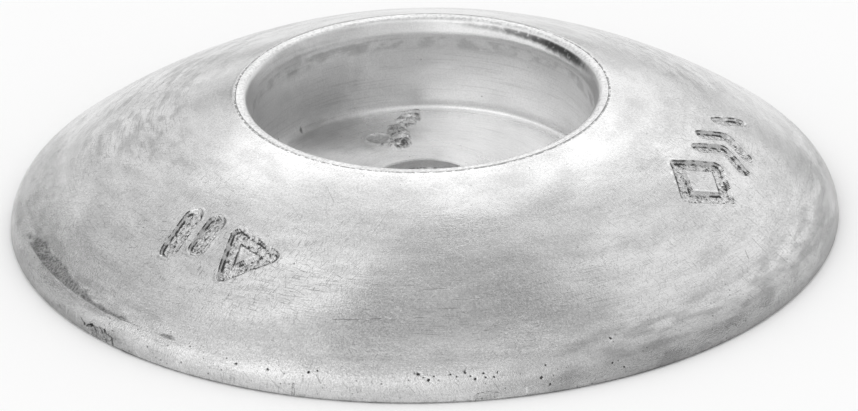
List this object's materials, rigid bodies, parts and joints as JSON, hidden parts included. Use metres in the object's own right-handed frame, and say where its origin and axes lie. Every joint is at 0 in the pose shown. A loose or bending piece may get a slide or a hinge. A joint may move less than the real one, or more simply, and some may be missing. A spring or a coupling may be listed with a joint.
{
  "type": "sacrificial anode",
  "caption": "Domed zinc disc anode with a pressed steel cup cast into it: the bolt head sits in the cup, over a central clearance hole, and the flat back lies on a hull or rudder.",
  "frame": {"origin": "centre of the flat back, where the axis of the bolt hole meets it", "axes": "+Z along the axis of the disc and the bolt, out of the mouth of the cup; X and Y lie in the plane of the back"},
  "size_m": [0.09, 0.09, 0.015],
  "materials": {
    "cast_zinc": "satin",
    "galvanised_steel": "satin"
  },
  "bodies": {
    "root": {"zinc_body": "cast_zinc", "insert_cup": "galvanised_steel"}
  },
  "joints": []
}
